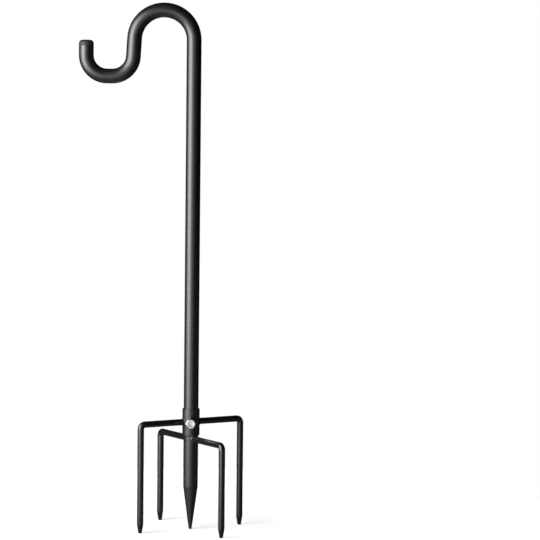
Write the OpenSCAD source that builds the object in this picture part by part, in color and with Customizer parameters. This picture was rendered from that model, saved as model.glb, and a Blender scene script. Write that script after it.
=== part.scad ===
// Hanging plant stand: a bent tube hook that plugs into a five-pronged ground spike.
// Millimetres, +Z up. The origin is the tip of the middle spike, on the pole's axis.
// The hook reaches towards -X and the clamp screw faces -Y.

/* [Tube] */
// Outside diameter of the pole and of the spike
tube_d = 16; // [13:0.5:22]
// Wall of the pole and of the spike
tube_wall = 1.2; // [0.8:0.1:2]
// Chamfer that takes the burr off every cut tube end
deburr = 0.3; // [0.1:0.05:0.35]

/* [Hook] */
// Height from the spike's tip to the top of the hook
stand_h = 570; // [450:5:1200]
// Centre-line radius of the arch at the top
arch_r = 32; // [24:1:60]
// How far the short leg after the arch leans out from plumb, in degrees
drop_lean = 3.3; // [0.5:0.1:12]
// Length of that leg
drop_len = 20; // [5:1:60]
// Centre-line radius of the two bends of the cradle
cradle_r = 22.5; // [18:0.5:40]
// Straight run between those two bends
cradle_flat = 5.6; // [1:0.1:40]
// Straight run from the cradle up to the end cap
tip_rise = 10.6; // [5:0.1:60]

/* [End cap] */
// Height of the cap above the tube's end
cap_h = 5.7; // [4.5:0.1:9]
// Radius of the cap's rounded edge
cap_edge_r = 3.9; // [1:0.1:4.2]
// Radius of the cap's crown
cap_crown_r = 50; // [16:1:90]
// Depth of the plug under the cap, with its fins
plug_len = 11; // [9:0.5:16]
// Radius of the plug's core, inside the fins
plug_core_r = 5.2; // [3:0.1:5.4]
// Wall of the hollow plug
plug_wall = 1.4; // [0.8:0.1:2]
// Number of gripping fins round the plug
fin_count = 3; // [2:1:4]
// Thickness of a fin
fin_t = 1; // [0.6:0.1:1.4]

/* [Socket collar] */
// Height of the collar's lower rim above the tips
collar_z = 103; // [95:1:160]
// Length of the collar
collar_len = 29; // [25:1:60]
// Wall of the collar
collar_wall = 1.25; // [1:0.05:3]
// Clearance all round between the collar and the tubes in it
collar_gap = 0.1; // [0.05:0.01:0.1]
// How far the spike's tube reaches up into the collar
seat_depth = 8; // [5:0.5:8]

/* [Clamp screw] */
// Nominal diameter of the screw
screw_d = 6; // [4:0.5:6.5]
// Length of the screw under its head
screw_len = 8; // [7:0.5:20]
// Width of the hexagons of head and nut, across the flats
hex_af = 10; // [8.5:0.5:12]
// Height of the screw's head
head_h = 4; // [3:0.1:6]
// Diameter of the round washer face under the head
washer_face_d = 9.2; // [7.5:0.1:9.5]
// Thickness of that washer face
washer_face_t = 0.4; // [0.2:0.1:1]
// Diameter of the dish in the head's front
dish_d = 7; // [4:0.1:8]
// Depth of that dish
dish_depth = 0.5; // [0.2:0.05:1]
// Width of its sloping wall
dish_wall_w = 1.3; // [0.5:0.1:1.8]
// How far the welded nut stands out of the collar
nut_rise = 4; // [3:0.5:5]
// Clearance all round between the screw and the nut
thread_gap = 0.05; // [0.02:0.01:0.1]
// Space left between the screw's end and the pole
bite_gap = 0.05; // [0.02:0.01:0.1]
// Clearance all round between the screw and the hole in the collar
screw_hole_gap = 0.3; // [0.1:0.05:0.6]

/* [Ground spike] */
// Length of the pointed end
point_len = 47; // [25:1:70]
// Diameter of its blunt tip
point_tip_d = 3.2; // [2:0.1:5]
// Length of the point's shank inside the tube
shank_len = 14; // [8:0.5:20]

/* [Prongs] */
// Diameter of the prong rod
rod_d = 7; // [5:0.5:8]
// Centre-line radius of the bend at each prong's shoulder
shoulder_r = 4.8; // [4.5:0.1:12]
// Distance from the pole's axis to the legs of the upper pair
upper_reach = 62; // [45:1:90]
// Distance from the pole's axis to the legs of the lower pair
lower_reach = 67; // [45:1:90]
// Angle of the upper pair from the hook's plane, in degrees
upper_angle = 30; // [0:5:30]
// Space between the collar and the lower pair
lower_gap = 0.5; // [0.2:0.1:10]
// Length of the taper at each leg's end
taper_len = 9.5; // [5:0.5:20]
// Diameter of a leg's blunt tip
prong_tip_d = 3.8; // [2:0.1:4.5]

/* [Welds] */
// Size of the bead round each prong's root
prong_bead = 1.2; // [0.6:0.1:1.8]
// Size of the bead under the collar
collar_bead = 0.9; // [0.5:0.1:1.2]
// Size of the two beads that hold the nut
nut_bead = 1; // [0.5:0.1:1.5]
// How far each of them runs round the nut, in degrees
nut_bead_arc = 70; // [40:5:80]

/* [Hidden] */
$fn = 64;

// Margin by which a cutting solid runs past what it cuts, and a weld bead into what it joins.
over = 1;
// Reach and inset of a lapped run.
lap = 0.3;
lap_inset = 0.01;
// Straight side of a weld bead, above the crown of the hub.
bead_land = 0.2;

tube_r = tube_d / 2;
tube_bore_r = tube_r - tube_wall;
rod_r = rod_d / 2;

// Hook: where the pole starts, where the arch springs, and where the tip ends.
pole_foot_z = collar_z + seat_depth;
arch_z = stand_h - tube_r - arch_r;
drop_top_x = -arch_r * (1 + cos(drop_lean));
drop_top_z = arch_z + arch_r * sin(drop_lean);
cradle_x = drop_top_x - drop_len * sin(drop_lean) - cradle_r * cos(drop_lean);
cradle_z = drop_top_z - drop_len * cos(drop_lean) + cradle_r * sin(drop_lean);
tip_x = cradle_x - cradle_flat - cradle_r;
tip_z = cradle_z + tip_rise;

// Collar, nut and screw.
collar_bore_r = tube_r + collar_gap;
collar_r = collar_bore_r + collar_wall;
collar_top_z = collar_z + collar_len;
collar_mid_z = collar_z + collar_len / 2;
hex_r = hex_af / 2 / cos(30);
// Radius of a hexagon's flat face, inside its turned-off corners.
hex_face_r = hex_af / 2 * 0.95;
// The nut's corners point up and down, and the head's left and right.
nut_turn = 30;
shank_r = screw_d / 2 - thread_gap;
nut_face_y = collar_r + nut_rise;
screw_end_y = tube_r + bite_gap;
nut_root_y = sqrt(collar_r ^ 2 - hex_r ^ 2) - over;

// Prongs: the lower pair sits just under the collar, square to the upper pair.
lower_z = collar_z - lower_gap - rod_r;
lower_angle = upper_angle + 90;

// ---- Bent stock: each run draws itself along +Z and carries on from its own end ----

// Cross-section of the stock: $stock_r outside, $stock_bore_r inside, or solid where that is 0.
module stock_section(inset = 0) {
    difference() {
        circle($stock_r - inset);
        if ($stock_bore_r > 0) circle($stock_bore_r + inset);
    }
}

module straight_run(length) {
    linear_extrude(length) stock_section();
    translate([0, 0, length]) children();
}

// A straight run between bends at odd angles: it laps into both, a hair inside their wall.
module lapped_run(length) {
    translate([0, 0, -lap]) linear_extrude(length + 2 * lap) stock_section(lap_inset);
    translate([0, 0, length]) children();
}

// A bend towards -X for a positive angle and towards +X for a negative one.
module bend_run(radius, angle) {
    facing = angle > 0 ? 0 : 180;
    sweep = abs(angle);
    rotate([0, 0, facing]) translate([-radius, 0, 0]) {
        rotate([90, 0, 0]) rotate_extrude(angle = sweep) translate([radius, 0]) stock_section();
        rotate([0, -sweep, 0]) translate([radius, 0, 0]) rotate([0, 0, facing]) children();
    }
}

// A tube's cut end, with the burr taken off its outer edge.
module cut_end() {
    rotate_extrude() polygon([
        [$stock_bore_r, 0], [$stock_r, 0], [$stock_r - deburr, deburr], [$stock_bore_r, deburr]
    ]);
}

// ---- Turned pieces ----

// A ring from z = 0 up, with its outer edges chamfered.
module turned_ring(r_in, r_out, height, chamfer) {
    rotate_extrude() polygon([
        [r_in, 0], [r_out - chamfer, 0], [r_out, chamfer],
        [r_out, height - chamfer], [r_out - chamfer, height], [r_in, height]
    ]);
}

// A hexagon from z = 0 up, its top corners turned off at 30 degrees.
module hex_blank(height) {
    intersection() {
        linear_extrude(height) circle(hex_r, $fn = 6);
        rotate_extrude() polygon([
            [0, 0], [hex_r, 0], [hex_r, height - (hex_r - hex_face_r) * tan(30)],
            [hex_face_r, height], [0, height]
        ]);
    }
}

// Puts a piece drawn along +Z on the screw's axis, pointing out of the collar's front.
module on_screw_axis(distance) {
    translate([0, -distance, collar_mid_z]) rotate([90, 0, 0]) children();
}

// The space that the nut takes up, which the weld beads beside it leave free.
module nut_space() {
    on_screw_axis(0) rotate(nut_turn) linear_extrude(nut_face_y) circle(hex_r, $fn = 6);
}

// ---- Hook ----

module hook_pole() {
    $stock_r = tube_r;
    $stock_bore_r = tube_bore_r;
    color("#1d1d1f")
    translate([0, 0, pole_foot_z + deburr]) {
        mirror([0, 0, 1]) cut_end();
        straight_run(arch_z - pole_foot_z - deburr)
        bend_run(arch_r, 180 - drop_lean)
        lapped_run(drop_len)
        bend_run(cradle_r, drop_lean - 90)
        lapped_run(cradle_flat)
        bend_run(cradle_r, -90)
        straight_run(tip_rise - deburr)
        cut_end();
    }
}

// Domed plug, pressed into the tube's end: its fins meet the bore.
module hook_end_cap() {
    fin_pitch = plug_len / (fin_count + 1);
    // Centres of the crown and of the rounded edge, and where the one runs into the other.
    crown_z = cap_h - cap_crown_r;
    edge_x = tube_r - cap_edge_r;
    edge_z = crown_z + sqrt((cap_crown_r - cap_edge_r) ^ 2 - edge_x ^ 2);
    meet_x = edge_x * cap_crown_r / (cap_crown_r - cap_edge_r);
    color("#2b2b2d")
    translate([tip_x, 0, tip_z]) rotate_extrude() {
        intersection() {
            union() {
                square([tube_r, edge_z]);
                translate([edge_x, edge_z]) circle(cap_edge_r);
                intersection() {
                    translate([0, crown_z]) circle(cap_crown_r);
                    square([meet_x, cap_h]);
                }
            }
            square([tube_r, cap_h]);
        }
        translate([plug_core_r - plug_wall, -plug_len]) square([plug_wall, plug_len]);
        for (i = [1 : fin_count])
            translate([plug_core_r, -i * fin_pitch - fin_t / 2])
                square([tube_bore_r - plug_core_r, fin_t]);
    }
}

// ---- Socket ----

module socket_collar() {
    color("#1d1d1f")
    difference() {
        translate([0, 0, collar_z]) turned_ring(collar_bore_r, collar_r, collar_len, deburr);
        on_screw_axis(0) cylinder(h = collar_r + over, r = screw_d / 2 + screw_hole_gap);
    }
}

module clamp_nut() {
    color("#232325")
    difference() {
        on_screw_axis(nut_root_y) rotate(nut_turn) hex_blank(nut_face_y - nut_root_y);
        translate([0, 0, collar_z]) cylinder(h = collar_len, r = collar_r);
        on_screw_axis(0) cylinder(h = nut_face_y + over, r = screw_d / 2);
    }
}

// Two beads, along the nut's upper and lower corners.
module nut_weld() {
    bead_r = hex_r + nut_bead;
    inner_r = hex_af / 2 - over;
    root_y = sqrt(collar_r ^ 2 - bead_r ^ 2) - over;
    skirt = collar_r - root_y;
    color("#151517")
    difference() {
        for (middle = [90, 270])
            on_screw_axis(root_y) rotate(middle - nut_bead_arc / 2) rotate_extrude(angle = nut_bead_arc) {
                translate([inner_r, 0]) square([bead_r - inner_r, skirt]);
                translate([inner_r, skirt]) square([hex_r - inner_r, nut_bead]);
                translate([hex_r, skirt]) intersection() {
                    circle(nut_bead);
                    square(nut_bead);
                }
            }
        translate([0, 0, collar_z]) cylinder(h = collar_len, r = collar_r);
        nut_space();
    }
}

// Hexagon-head screw with a dished front, a turned washer face and a chamfered end.
module clamp_screw() {
    point_chamfer = screw_d / 8;
    front = screw_len + head_h;
    color("#c8cbd0")
    on_screw_axis(screw_end_y) {
        rotate_extrude() polygon([
            [0, 0], [shank_r - point_chamfer, 0], [shank_r, point_chamfer],
            [shank_r, screw_len], [washer_face_d / 2, screw_len],
            [washer_face_d / 2, screw_len + washer_face_t], [0, screw_len + washer_face_t]
        ]);
        difference() {
            translate([0, 0, screw_len + washer_face_t]) hex_blank(head_h - washer_face_t);
            rotate_extrude() polygon([
                [0, front - dish_depth], [dish_d / 2 - dish_wall_w, front - dish_depth],
                [dish_d / 2, front], [dish_d / 2, front + over], [0, front + over]
            ]);
        }
    }
}

// ---- Ground spike ----

module spike_tube() {
    color("#1d1d1f")
    translate([0, 0, point_len])
        turned_ring(tube_bore_r, tube_r, pole_foot_z - point_len, deburr);
}

// Blunt cone with a shoulder that meets the tube and a shank pressed into its bore.
module spike_point() {
    color("#1d1d1f")
    rotate_extrude() polygon([
        [0, 0], [point_tip_d / 2, 0], [tube_r, point_len - deburr],
        [tube_r - deburr, point_len], [tube_bore_r, point_len],
        [tube_bore_r, point_len + shank_len - deburr],
        [tube_bore_r - deburr, point_len + shank_len], [0, point_len + shank_len]
    ]);
}

// ---- Prongs ----

// A rod bent square at the shoulder, its leg tapered to a blunt tip, its root coped to the hub.
module prong(turn, reach, height, hub_r) {
    $stock_r = rod_r;
    $stock_bore_r = 0;
    color("#1d1d1f")
    difference() {
        rotate([0, 0, turn]) translate([0, 0, height]) rotate([0, 90, 0])
            straight_run(reach - shoulder_r)
            bend_run(shoulder_r, -90)
            straight_run(height - shoulder_r - taper_len)
            cylinder(h = taper_len, r1 = rod_r, r2 = prong_tip_d / 2);
        translate([0, 0, height - rod_d]) cylinder(h = 2 * rod_d, r = hub_r);
    }
}

// Section of a prong's weld bead: a skirt down to the hub, and a quarter-round over it.
module prong_bead_section(hub_r) {
    skirt = hub_r + bead_land - bead_root(hub_r);
    translate([rod_r, 0]) square([prong_bead, skirt]);
    translate([rod_r, skirt]) intersection() {
        circle(prong_bead);
        square(prong_bead);
    }
}

// Puts a piece drawn along +Z on a prong's root, square to the hub.
module on_prong_axis(turn, height, distance) {
    rotate([0, 0, turn]) translate([0, 0, height]) rotate([0, 90, 0])
        translate([0, 0, distance]) children();
}

function bead_root(hub_r) = sqrt(hub_r ^ 2 - (rod_r + prong_bead) ^ 2) - over;

module prong_weld(turn, height, hub_r) {
    color("#151517")
    difference() {
        on_prong_axis(turn, height, bead_root(hub_r)) rotate_extrude() prong_bead_section(hub_r);
        translate([0, 0, height - rod_d]) cylinder(h = 2 * rod_d, r = hub_r);
        if (height < collar_z) translate([0, 0, collar_z]) cylinder(h = rod_d, r = collar_r);
        else nut_space();
    }
}

// Bead in the corner under the collar, on both sides of the lower prongs.
module collar_weld() {
    root = bead_root(tube_r);
    color("#151517")
    difference() {
        translate([0, 0, collar_z]) rotate_extrude() translate([tube_r, 0]) intersection() {
            circle(collar_bead);
            translate([0, -collar_bead]) square(collar_bead);
        }
        for (turn = [lower_angle, lower_angle + 180])
            on_prong_axis(turn, lower_z, root) rotate_extrude() {
                prong_bead_section(tube_r);
                square([rod_r, collar_r + over - root]);
            }
    }
}

module upper_left_prong() prong(upper_angle + 180, upper_reach, collar_mid_z, collar_r);
module upper_right_prong() prong(upper_angle, upper_reach, collar_mid_z, collar_r);
module lower_front_prong() prong(lower_angle + 180, lower_reach, lower_z, tube_r);
module lower_back_prong() prong(lower_angle, lower_reach, lower_z, tube_r);

module upper_left_weld() prong_weld(upper_angle + 180, collar_mid_z, collar_r);
module upper_right_weld() prong_weld(upper_angle, collar_mid_z, collar_r);
module lower_front_weld() prong_weld(lower_angle + 180, lower_z, tube_r);
module lower_back_weld() prong_weld(lower_angle, lower_z, tube_r);

hook_pole();
hook_end_cap();
socket_collar();
clamp_nut();
clamp_screw();
spike_tube();
spike_point();
upper_left_prong();
upper_right_prong();
lower_front_prong();
lower_back_prong();
upper_left_weld();
upper_right_weld();
lower_front_weld();
lower_back_weld();
collar_weld();
nut_weld();
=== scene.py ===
"""Looks for a hanging plant stand: a black coated tube hook that plugs into a five-pronged ground spike.

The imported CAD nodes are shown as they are, with procedural finishes. What the solids leave out is added as
meshes: the clamp screw's thread and dished head, and the ripples of the weld beads.
"""
import math
import random

import bmesh
import bpy
from mathutils import Matrix, Vector


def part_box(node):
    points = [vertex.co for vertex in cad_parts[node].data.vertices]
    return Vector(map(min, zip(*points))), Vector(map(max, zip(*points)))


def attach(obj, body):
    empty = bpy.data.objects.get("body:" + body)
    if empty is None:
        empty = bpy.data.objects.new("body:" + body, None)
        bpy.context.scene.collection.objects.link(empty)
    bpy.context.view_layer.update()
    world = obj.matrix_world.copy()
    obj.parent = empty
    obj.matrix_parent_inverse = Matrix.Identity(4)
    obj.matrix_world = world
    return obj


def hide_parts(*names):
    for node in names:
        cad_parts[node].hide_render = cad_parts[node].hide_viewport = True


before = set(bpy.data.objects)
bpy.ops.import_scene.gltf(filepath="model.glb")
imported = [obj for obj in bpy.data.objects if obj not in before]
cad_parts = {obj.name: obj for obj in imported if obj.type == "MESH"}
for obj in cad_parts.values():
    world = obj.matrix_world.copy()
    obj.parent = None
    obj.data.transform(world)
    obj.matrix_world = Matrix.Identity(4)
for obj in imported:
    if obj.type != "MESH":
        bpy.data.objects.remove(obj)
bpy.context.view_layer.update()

MM = 0.001
WHITE = (1, 1, 1, 1)
COLLAR_MID = Vector((0, 0, sum(corner.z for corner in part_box("socket_collar")) / 2))
ROD_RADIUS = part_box("upper_left_prong")[1].z - COLLAR_MID.z

# ---- Camera: fitted to the photograph's prong tips, bars, collar and pole ----

CAMERA_PLACE = (0.01249, -3.32988, 0.55567)
CAMERA_YAW = math.radians(1.230)  # to the right of +Y
CAMERA_PITCH = math.radians(4.678)  # below the horizon
CAMERA_ROLL = math.radians(0.603)
CAMERA_LENS = 206.13  # mm, on a sensor 36 mm wide


def add_camera():
    data = bpy.data.cameras.new("camera")
    data.lens = CAMERA_LENS
    data.sensor_width = 36
    data.clip_start, data.clip_end = 0.1, 50
    camera = bpy.data.objects.new("camera", data)
    camera.matrix_world = (
        Matrix.Translation(CAMERA_PLACE)
        @ Matrix.Rotation(-CAMERA_YAW, 4, "Z")
        @ Matrix.Rotation(math.pi / 2 - CAMERA_PITCH, 4, "X")
        @ Matrix.Rotation(CAMERA_ROLL, 4, "Z")
    )
    bpy.context.scene.collection.objects.link(camera)
    bpy.context.scene.camera = camera


# ---- Light: a tall soft box at the left front, a wide one in front, a low card and a weak box behind ----

LIGHT_TARGET = Vector((-0.02, 0, 0.30))


def add_softbox(name, azimuth, height, distance, size, radiance):
    """Azimuth is in degrees from the front, towards the left. Size is width and height."""
    turn = math.radians(azimuth)
    data = bpy.data.lights.new(name, "AREA")
    data.shape = "RECTANGLE"
    data.size, data.size_y = size
    data.energy = radiance * math.pi * size[0] * size[1]
    lamp = bpy.data.objects.new(name, data)
    lamp.location = (-distance * math.sin(turn), -distance * math.cos(turn), height)
    lamp.rotation_euler = (LIGHT_TARGET - lamp.location).to_track_quat("-Z", "Y").to_euler()
    lamp.visible_camera = False
    bpy.context.scene.collection.objects.link(lamp)


def add_lights():
    add_softbox("key_softbox", azimuth=58, height=0.505, distance=0.83, size=(0.69, 0.95), radiance=7.3)
    add_softbox("front_softbox", azimuth=34, height=0.42, distance=3.8, size=(2.1, 2.7), radiance=2.6)
    add_softbox("low_card", azimuth=-84, height=0.08, distance=0.6, size=(0.35, 0.20), radiance=0.2)
    add_softbox("back_softbox", azimuth=180, height=0.6, distance=2.2, size=(0.8, 1.4), radiance=0.6)


# ---- Node helpers ----


def node(tree, kind, inputs=None, **settings):
    """Adds a shader node. An input is either a plain value or another node's output."""
    made = tree.nodes.new("ShaderNode" + kind)
    for name, value in settings.items():
        setattr(made, name, value)
    for name, value in (inputs or {}).items():
        if isinstance(value, bpy.types.NodeSocket):
            tree.links.new(value, made.inputs[name])
        else:
            made.inputs[name].default_value = value
    return made


def maths(tree, operation, *values, clamp=False):
    """A Math node's result."""
    inputs = dict(enumerate(values))
    return node(tree, "Math", inputs, operation=operation, use_clamp=clamp).outputs["Value"]


def vector_maths(tree, operation, *values):
    """A Vector Math node's outputs: Vector, and Value where the result is a number."""
    return node(tree, "VectorMath", dict(enumerate(values)), operation=operation).outputs


def noise(tree, coords, grain, detail=2.0, roughness=0.5):
    """Noise whose features are about grain metres across, from 0 to 1."""
    inputs = {"Vector": coords, "Scale": 1 / grain, "Detail": detail, "Roughness": roughness}
    return node(tree, "TexNoise", inputs).outputs["Fac"]


def spread(tree, value, low, high, start=0.3, end=0.7):
    """Maps start..end of a value to low..high. The middle of a noise lies between 0.3 and 0.7."""
    inputs = {"Value": value, "From Min": start, "From Max": end, "To Min": low, "To Max": high}
    return node(tree, "MapRange", inputs).outputs["Result"]


def blend_colours(tree, factor, first, second):
    """Goes from the first colour to the second. A colour is three numbers or another node's output."""
    made = node(tree, "Mix", {"Factor": factor}, data_type="RGBA")
    for socket, colour in zip((made.inputs[6], made.inputs[7]), (first, second)):
        if isinstance(colour, bpy.types.NodeSocket):
            tree.links.new(colour, socket)
        else:
            socket.default_value = (*colour, 1)
    return made.outputs[2]


def bump(tree, height, depth, normal):
    """A normal with a relief of the given depth in metres."""
    inputs = {"Height": height, "Distance": depth, "Strength": 1.0, "Normal": normal}
    return node(tree, "Bump", inputs).outputs["Normal"]


def rounded_normal(tree, radius):
    """The surface's normal, rounded over its sharp edges."""
    return node(tree, "Bevel", {"Radius": radius}, samples=6).outputs["Normal"]


def new_material(name):
    """An empty material with a Principled shader: (material, node tree, shader, object coordinates)."""
    material = bpy.data.materials.new(name)
    material.use_nodes = True
    tree = material.node_tree
    return material, tree, tree.nodes["Principled BSDF"], node(tree, "TexCoord").outputs["Object"]


def plug(tree, shader, **inputs):
    """Sets or links the shader's own sockets. An underscore in a name stands for a space."""
    for name, value in inputs.items():
        socket = shader.inputs[name.replace("_", " ")]
        if isinstance(value, bpy.types.NodeSocket):
            tree.links.new(value, socket)
        else:
            socket.default_value = value


# ---- Powder coat ----

BLACK_DEEP = (0.0032, 0.0032, 0.0035)
BLACK_PALE = (0.0058, 0.0058, 0.0063)
# Paler colour on the edges: partly thin, worn coat, partly a painted edge highlight
WORN_AND_HIGHLIT_EDGE = (0.055, 0.055, 0.058)
COAT_SPECULAR = 1.0
COAT_CLOUD = 14 * MM  # how wide its clouds of colour, flecks of gloss, orange peel and grain are
COAT_FLECK = 0.9 * MM
COAT_PEEL = 1.8 * MM
COAT_GRAIN = 0.45 * MM
EDGE_RADIUS = 0.25 * MM
EDGE_TURN = (0.90, 0.995)  # cosines between the plain and the rounded normal, on an edge and off it
EDGE_WEAR_AND_HIGHLIGHT = (0.1, 0.5)  # least and most of the pale edge colour on an edge: thin, worn coat and a painted edge highlight


def edge_mask(tree, rounded):
    """1 on the edges that a rounded normal smooths, 0 off them."""
    plain = node(tree, "NewGeometry").outputs["Normal"]
    same = vector_maths(tree, "DOT_PRODUCT", rounded, plain)["Value"]
    return spread(tree, same, 1, 0, *EDGE_TURN)


def powder_coat(name, gloss, peel, grain):
    """Black powder coat. Gloss is its (lowest, highest) roughness; peel and grain are depths in metres."""
    material, tree, shader, coords = new_material(name)
    cloud = noise(tree, coords, COAT_CLOUD, detail=3)
    fleck = noise(tree, coords, COAT_FLECK, detail=3, roughness=0.6)
    rounded = rounded_normal(tree, EDGE_RADIUS)
    # The edges turn paler whatever the light falls on them: partly wear, partly a painted edge highlight
    wear_and_highlight_share = maths(tree, "MULTIPLY", edge_mask(tree, rounded), spread(tree, fleck, *EDGE_WEAR_AND_HIGHLIGHT))
    colour = blend_colours(tree, spread(tree, cloud, 0, 1), BLACK_DEEP, BLACK_PALE)
    peeled = bump(tree, noise(tree, coords, COAT_PEEL, detail=1), peel, rounded)
    plug(
        tree, shader,
        Base_Color=blend_colours(tree, wear_and_highlight_share, colour, WORN_AND_HIGHLIT_EDGE),
        Roughness=spread(tree, fleck, *gloss),
        Specular_IOR_Level=COAT_SPECULAR,
        Normal=bump(tree, noise(tree, coords, COAT_GRAIN, detail=1), grain, peeled),
    )
    return material


# ---- The end cap's plastic ----

PLASTIC_DEEP = (0.020, 0.020, 0.021)
PLASTIC_PALE = (0.028, 0.028, 0.029)
PLASTIC_ROUGHNESS = (0.55, 0.65)
PLASTIC_CLOUD = 6 * MM
PLASTIC_FLECK = 0.6 * MM
PLASTIC_GRAIN = 0.35 * MM
PLASTIC_GRAIN_DEPTH = 0.012 * MM
PLASTIC_EDGE_RADIUS = 0.3 * MM


def moulded_plastic():
    """Matt black polythene with a fine spark-eroded grain."""
    material, tree, shader, coords = new_material("moulded_plastic")
    cloud = noise(tree, coords, PLASTIC_CLOUD)
    fleck = noise(tree, coords, PLASTIC_FLECK)
    rounded = rounded_normal(tree, PLASTIC_EDGE_RADIUS)
    plug(
        tree, shader,
        Base_Color=blend_colours(tree, spread(tree, cloud, 0, 1), PLASTIC_DEEP, PLASTIC_PALE),
        Roughness=spread(tree, fleck, *PLASTIC_ROUGHNESS),
        Normal=bump(tree, noise(tree, coords, PLASTIC_GRAIN), PLASTIC_GRAIN_DEPTH, rounded),
    )
    return material


# ---- The screw's zinc ----

ZINC_DEEP = (0.80, 0.81, 0.84)
ZINC_PALE = (0.89, 0.89, 0.88)
DISH_ROUGHNESS = 0.40
RIM_ROUGHNESS = 0.20
DISH_TO_RIM = (2.1 * MM, 2.8 * MM)  # distances from the screw's axis
ZINC_FLECK = 0.7 * MM
ZINC_FLECK_ROUGHNESS = 0.04  # more and less
ZINC_CLOUD = 2.5 * MM
ZINC_CLOUD_DEPTH = 0.02 * MM
ZINC_EDGE_RADIUS = 0.2 * MM
RING_SPACING = 0.22 * MM
RING_DEPTH = 0.0012 * MM
RING_WAVER = 0.08 * MM
RING_WAVER_GRAIN = 1.5 * MM


def zinc_plate():
    """Bright zinc, duller in the head's dish, with the rings that turning left round the axis."""
    material, tree, shader, coords = new_material("zinc_plate")
    centred = vector_maths(tree, "SUBTRACT", coords, COLLAR_MID)["Vector"]
    across = vector_maths(tree, "MULTIPLY", centred, (1, 0, 1))["Vector"]
    radius = vector_maths(tree, "LENGTH", across)["Value"]
    wavered = maths(tree, "MULTIPLY_ADD", noise(tree, coords, RING_WAVER_GRAIN), RING_WAVER, radius)
    rings = maths(tree, "SINE", maths(tree, "MULTIPLY", wavered, 2 * math.pi / RING_SPACING))
    cloud = noise(tree, coords, ZINC_CLOUD, detail=3)
    fleck = noise(tree, coords, ZINC_FLECK, detail=3)
    uneven = spread(tree, fleck, -ZINC_FLECK_ROUGHNESS, ZINC_FLECK_ROUGHNESS)
    worn = spread(tree, radius, DISH_ROUGHNESS, RIM_ROUGHNESS, *DISH_TO_RIM)
    clouded = bump(tree, cloud, ZINC_CLOUD_DEPTH, rounded_normal(tree, ZINC_EDGE_RADIUS))
    plug(
        tree, shader,
        Base_Color=blend_colours(tree, spread(tree, cloud, 0, 1), ZINC_DEEP, ZINC_PALE),
        Metallic=1.0,
        Roughness=maths(tree, "ADD", uneven, worn),
        Normal=bump(tree, rings, RING_DEPTH, clouded),
    )
    return material


# ---- Stage ----

FLOOR_RADIUS = 0.45
FLOOR_SEEN = (0.80, 0.80, 0.80)
FLOOR_MIRRORED = (0.18, 0.18, 0.18)
KEY_SIDE = (-0.08, 0, 0)  # about where the key light falls strongest on the floor
FLOOR_LIFT = 0.55  # there; away from there it rises to 1
FLOOR_FADE = (0.08, 0.38)  # metres from there, where the rise starts and ends
ROOM_LEVEL = 0.01
BACKDROP_WAY = (0, 1, 0)
BACKDROP_REACH = (0.95, 0.99)  # cosines off that way, where the white starts and is full
FRONT_WAY = (0, -0.970, -0.242)  # 14 degrees down: what the screw's face mirrors
FRONT_REACH = (0.95, 0.975)


def facing(tree, direction, towards, start, end):
    """Grows from 0 to 1 as the direction turns towards a fixed one: start and end are cosines."""
    closeness = vector_maths(tree, "DOT_PRODUCT", direction, towards)["Value"]
    return spread(tree, closeness, 0, 1, start, end)


def backdrop_factor(tree, direction):
    """1 where the camera looks, and where a reflection shows the white backdrop or the floor in front."""
    path = node(tree, "LightPath").outputs
    mirrored = maths(tree, "ADD", path["Is Glossy Ray"], path["Is Transmission Ray"], clamp=True)
    backdrop = facing(tree, direction, BACKDROP_WAY, *BACKDROP_REACH)
    front = facing(tree, direction, FRONT_WAY, *FRONT_REACH)
    white = maths(tree, "ADD", backdrop, front, clamp=True)
    return maths(tree, "MULTIPLY_ADD", mirrored, white, path["Is Camera Ray"], clamp=True)


def add_floor():
    """A round white floor. What the camera sees of it is lifted to white, apart from the shadows."""
    mesh = bpy.data.meshes.new("floor")
    shape = bmesh.new()
    bmesh.ops.create_circle(shape, cap_ends=True, radius=FLOOR_RADIUS, segments=96)
    shape.to_mesh(mesh)
    shape.free()
    floor = bpy.data.objects.new("floor", mesh)
    bpy.context.scene.collection.objects.link(floor)
    material, tree, shader, coords = new_material("white_floor")
    outward = vector_maths(tree, "NORMALIZE", coords)["Vector"]
    away = vector_maths(tree, "DISTANCE", coords, KEY_SIDE)["Value"]
    fade = spread(tree, away, FLOOR_LIFT, 1, *FLOOR_FADE)
    seen = node(tree, "LightPath").outputs["Is Camera Ray"]
    plug(
        tree, shader,
        Base_Color=blend_colours(tree, seen, FLOOR_MIRRORED, FLOOR_SEEN),
        Roughness=0.9,
        Specular_IOR_Level=0.0,
        Emission_Color=WHITE,
        Emission_Strength=maths(tree, "MULTIPLY", backdrop_factor(tree, outward), fade),
    )
    mesh.materials.append(material)


def add_world():
    """A dim room with a white backdrop."""
    world = bpy.data.worlds.new("studio")
    world.use_nodes = True
    tree = world.node_tree
    background = tree.nodes["Background"].inputs
    factor = backdrop_factor(tree, node(tree, "TexCoord").outputs["Generated"])
    tree.links.new(spread(tree, factor, ROOM_LEVEL, 1.0, 0, 1), background["Strength"])
    background["Color"].default_value = WHITE
    bpy.context.scene.world = world


# ---- Meshes that stand for CAD nodes ----

SMOOTH_BELOW = math.radians(28)


def make_piece(shape, name, body, material, slot, *nodes):
    """Turns a bmesh into a named piece that rides on a body and stands for the given CAD nodes."""
    bmesh.ops.recalc_face_normals(shape, faces=shape.faces)
    mesh = bpy.data.meshes.new(name)
    shape.to_mesh(mesh)
    shape.free()
    mesh.polygons.foreach_set("use_smooth", [True] * len(mesh.polygons))
    mesh.set_sharp_from_angle(angle=SMOOTH_BELOW)
    mesh.materials.append(material)
    piece = bpy.data.objects.new(name, mesh)
    bpy.context.scene.collection.objects.link(piece)
    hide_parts(*nodes)
    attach(piece, body)


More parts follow.
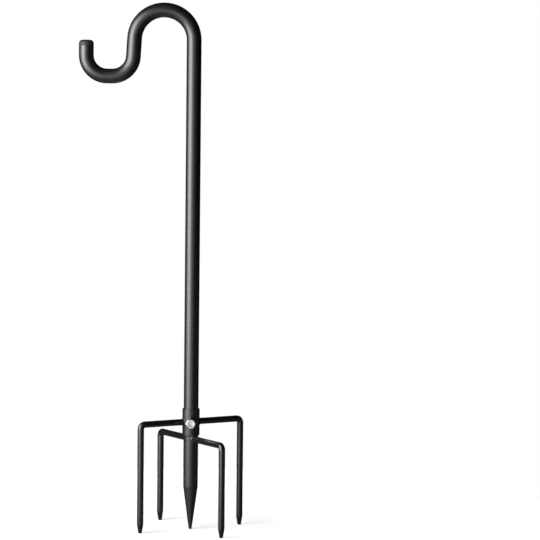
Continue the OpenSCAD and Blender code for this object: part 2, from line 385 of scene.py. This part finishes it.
def skin_rings(shape, rings, closed=False):
    """Joins rings of points, each a closed loop. A closed row meets itself; an open one gets end faces."""
    loops = [[shape.verts.new(point) for point in ring] for ring in rings]
    follow = loops[1:] + ([loops[0]] if closed else [])
    for first, second in zip(loops, follow):
        for k in range(len(first)):
            shape.faces.new((first[k - 1], first[k], second[k], second[k - 1]))
    if not closed:
        shape.faces.new(loops[0])
        shape.faces.new(list(reversed(loops[-1])))


def half_width(name):
    low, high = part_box(name)
    return (high.x - low.x) / 2


def hexagon(apothem, turn):
    """A hexagon's radius at a turn from one of its corners."""
    return apothem / math.cos(turn % (math.pi / 3) - math.pi / 6)


# ---- Weld beads ----

HUMP_STEPS = 8
BEAD_ARC_STEPS = 6
BEAD_SWELL = (0.94, 1.04)  # smallest and largest ripple, as shares of the bead's size
BEAD_RIPPLE = 0.07  # depth of a ripple, as a share of the bead's size
BEAD_VALLEY = 1.4  # how far a ripple's valley lies below the bead's size, in ripple depths
BEAD_ROUNDNESS = 0.6  # below 1, ripples are broad and the valleys between them narrow
BEAD_LEAD = 0.5  # how far a ripple's middle runs ahead, in ripples
BEAD_END = 0.35  # size of an open bead's ends, as a share of its middle
BEAD_TAPER = 0.4  # below 1, an open bead narrows late
BEAD_SINK = 0.3 * MM  # how far a bead's hidden sides run into the metal
PRONG_RIPPLES = 24
COLLAR_RIPPLES = 48
NUT_BEAD = 1.0 * MM
NUT_BEAD_SWEEP = 70  # degrees, with its middle over one of the nut's corners
NUT_RIPPLES = 8


def add_bead(shape, place, leg, start, sweep, humps, seed):
    """Adds a bead of overlapping ripples. place(turn, out, up) maps the two legs of its corner to space."""
    chance = random.Random(seed)
    swell = [chance.uniform(*BEAD_SWELL) for _ in range(humps)]
    closed = sweep == 360
    steps = humps * HUMP_STEPS
    rings = []
    for i in range(steps if closed else steps + 1):
        size = leg
        if not closed:
            size *= BEAD_END + (1 - BEAD_END) * math.sin(math.pi * i / steps) ** BEAD_TAPER
        arc = []
        for k in range(BEAD_ARC_STEPS + 1):
            angle = math.pi / 2 * k / BEAD_ARC_STEPS
            # The middle of the bead runs ahead of its edges, so that each ripple is a crescent.
            place_in_row = (i / HUMP_STEPS + BEAD_LEAD * math.sin(2 * angle)) % humps
            ripple = abs(math.sin(math.pi * place_in_row)) ** BEAD_ROUNDNESS
            swollen = 1 + (swell[int(place_in_row)] - 1) * ripple
            radius = size * swollen * (1 - BEAD_RIPPLE * (BEAD_VALLEY - ripple))
            arc.append((radius * math.cos(angle), radius * math.sin(angle)))
        profile = [(-BEAD_SINK, -BEAD_SINK), (arc[0][0], -BEAD_SINK), *arc, (-BEAD_SINK, arc[-1][1])]
        turn = math.radians(start + sweep * i / steps)
        rings.append([place(turn, out, up) for out, up in profile])
    skin_rings(shape, rings, closed)


def on_hub(outward, height, hub_radius, core_radius):
    """place() for a bead round something that stands on a hub. Its core radius is a function of the turn."""
    outward = outward.normalized()
    side = Vector((0, 0, 1)).cross(outward)

    def place(turn, out, up):
        across = (core_radius(turn) + out) * math.sin(turn)
        above = (core_radius(turn) + out) * math.cos(turn)
        along = math.sqrt(hub_radius ** 2 - across ** 2) + up
        return outward * along + side * across + Vector((0, 0, height + above))

    return place


def add_prong_weld(side, hub, material):
    """The bead round one prong's root. The rod's place is read from the prong's own box."""
    low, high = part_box(side + "_prong")
    bead_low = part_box(side + "_weld")[0]
    height = high.z - ROD_RADIUS
    outward = Vector(((low.x + high.x) / 2, (low.y + high.y) / 2, 0))
    place = on_hub(outward, height, half_width(hub), lambda turn: ROD_RADIUS)
    shape = bmesh.new()
    add_bead(shape, place, height - ROD_RADIUS - bead_low.z, 0, 360, PRONG_RIPPLES, side)
    make_piece(shape, side + "_weld_bead", "ground_spike", material, "black_coat", side + "_weld")


def add_collar_weld(material):
    """The bead between the collar's lower rim and the spike's tube."""
    low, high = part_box("collar_weld")
    tube = half_width("spike_tube")

    def place(turn, out, up):
        return Vector((math.cos(turn) * (tube + out), math.sin(turn) * (tube + out), high.z - up))

    shape = bmesh.new()
    add_bead(shape, place, high.z - low.z, 0, 360, COLLAR_RIPPLES, "collar")
    make_piece(shape, "collar_weld_bead", "ground_spike", material, "black_coat", "collar_weld")


def add_nut_weld(material):
    """Two beads, along the nut's upper and lower corners."""
    apothem = half_width("clamp_nut")
    place = on_hub(Vector((0, -1, 0)), COLLAR_MID.z, half_width("socket_collar"),
                   lambda turn: hexagon(apothem, turn))
    shape = bmesh.new()
    for middle in (0, 180):
        add_bead(shape, place, NUT_BEAD, middle - NUT_BEAD_SWEEP / 2, NUT_BEAD_SWEEP, NUT_RIPPLES, middle)
    make_piece(shape, "nut_weld_bead", "ground_spike", material, "black_coat", "nut_weld")


# ---- Clamp screw ----

SHANK_RADIUS = 2.95 * MM
POINT_CHAMFER = 0.75 * MM
THREAD_PITCH = 1.0 * MM
THREAD_DEPTH = 0.54 * MM
THREAD_FLANK = 2.4  # how fast a flank rises, in thread depths to half a pitch
THREAD_ROOT = 0.7  # how much of that is cut off at the root; the crest is cut off at 1
THREAD_STEPS = 48  # points round the thread
THREAD_ROWS = 12  # rows to a pitch
HEAD_HEIGHT = 4.0 * MM
WASHER_FACE = 0.4 * MM
WASHER_SHARE = 0.92  # of the hexagon's inner radius
UNDERSIDE_BEVEL = (0.15 * MM, 0.1 * MM)  # inwards, and along the axis
SIDE_STEPS = 12  # points along one side of the hexagon
CHAMFER = math.radians(15)
FACE_SHARE = 0.82  # of the hexagon's inner radius, inside the chamfer
DISH_DEPTH = 0.20 * MM
# Share of the face's radius, and share of the dish's depth. The first two keep the rim flat.
DISH = (
    (0.97, 0), (0.80, 0), (0.75, 0.04), (0.68, 0.30),
    (0.60, 0.62), (0.50, 0.84), (0.36, 0.95), (0.20, 1.0),
)


def add_screw(material):
    """The clamp screw, with its thread, washer face, chamfered corners and dished head."""
    low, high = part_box("clamp_screw")
    corner = (high.x - low.x) / 2
    apothem = corner * math.cos(math.pi / 6)
    washer_radius = apothem * WASHER_SHARE
    face_radius = apothem * FACE_SHARE
    front, tip = -low.y, -high.y
    seat = front - HEAD_HEIGHT
    washer = seat + WASHER_FACE

    def ring(count, point):
        """Points round the axis. point(turn) gives the radius and the distance along the axis."""
        points = []
        for k in range(count):
            turn = 2 * math.pi * k / count
            radius, out = point(turn)
            points.append(Vector((radius * math.cos(turn), -out, COLLAR_MID.z + radius * math.sin(turn))))
        return points

    def thread(out):
        """A helix: the cut's radius follows the turn and the distance along the axis."""
        def point(turn):
            phase = (out / THREAD_PITCH - turn / (2 * math.pi)) % 1
            crest = min(1, max(0, THREAD_FLANK * abs(2 * phase - 1) - THREAD_ROOT))
            cut = SHANK_RADIUS - THREAD_DEPTH * (1 - crest)
            return min(cut, SHANK_RADIUS - POINT_CHAMFER + (out - tip)), out
        return point

    def level(radius, out):
        return ring(6 * SIDE_STEPS, lambda turn: (radius, out))

    def chamfered(turn):
        radius = hexagon(apothem, turn)
        return radius, front - (radius - face_radius) * math.tan(CHAMFER)

    shape = bmesh.new()
    rows = round((seat - tip) / (THREAD_PITCH / THREAD_ROWS))
    shank = [ring(THREAD_STEPS, thread(tip + (seat - tip) * k / rows)) for k in range(rows + 1)]
    shank.append(ring(THREAD_STEPS, lambda turn: (SHANK_RADIUS - THREAD_DEPTH, seat + WASHER_FACE / 2)))
    skin_rings(shape, shank)

    inwards, along = UNDERSIDE_BEVEL
    head = [
        level(washer_radius, seat),
        level(washer_radius, washer),
        ring(6 * SIDE_STEPS, lambda turn: (hexagon(apothem, turn) - inwards, washer)),
        ring(6 * SIDE_STEPS, lambda turn: (hexagon(apothem, turn), washer + along)),
        ring(6 * SIDE_STEPS, chamfered),
        level(face_radius, front),
        *(level(face_radius * share, front - DISH_DEPTH * drop) for share, drop in DISH),
    ]
    skin_rings(shape, head)
    make_piece(shape, "zinc_screw", "screw", material, "zinc", "clamp_screw")


# ---- The stand ----


def dress(material, *names):
    for name in names:
        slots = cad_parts[name].data.materials
        slots.clear()
        slots.append(material)


SPIKE_NODES = [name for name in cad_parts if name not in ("hook_pole", "hook_end_cap", "clamp_screw")]
PRONG_NODES = [name for name in SPIKE_NODES if name.endswith("_prong")]

add_camera()
add_lights()
add_world()
add_floor()

hook_coat = powder_coat("hook_coat", gloss=(0.38, 0.43), peel=0.002 * MM, grain=0.0008 * MM)
spike_coat = powder_coat("spike_coat", gloss=(0.40, 0.50), peel=0.014 * MM, grain=0.005 * MM)
prong_coat = powder_coat("prong_coat", gloss=(0.29, 0.35), peel=0.006 * MM, grain=0.002 * MM)
zinc = zinc_plate()
dress(hook_coat, "hook_pole")
dress(spike_coat, *SPIKE_NODES)
dress(prong_coat, *PRONG_NODES)
dress(moulded_plastic(), "hook_end_cap")
dress(zinc, "clamp_screw")

add_screw(zinc)
for side, hub in (("upper_left", "socket_collar"), ("upper_right", "socket_collar"),
                  ("lower_front", "spike_tube"), ("lower_back", "spike_tube")):
    add_prong_weld(side, hub, spike_coat)
add_collar_weld(spike_coat)
add_nut_weld(spike_coat)

bpy.context.scene.view_settings.view_transform = "Standard"
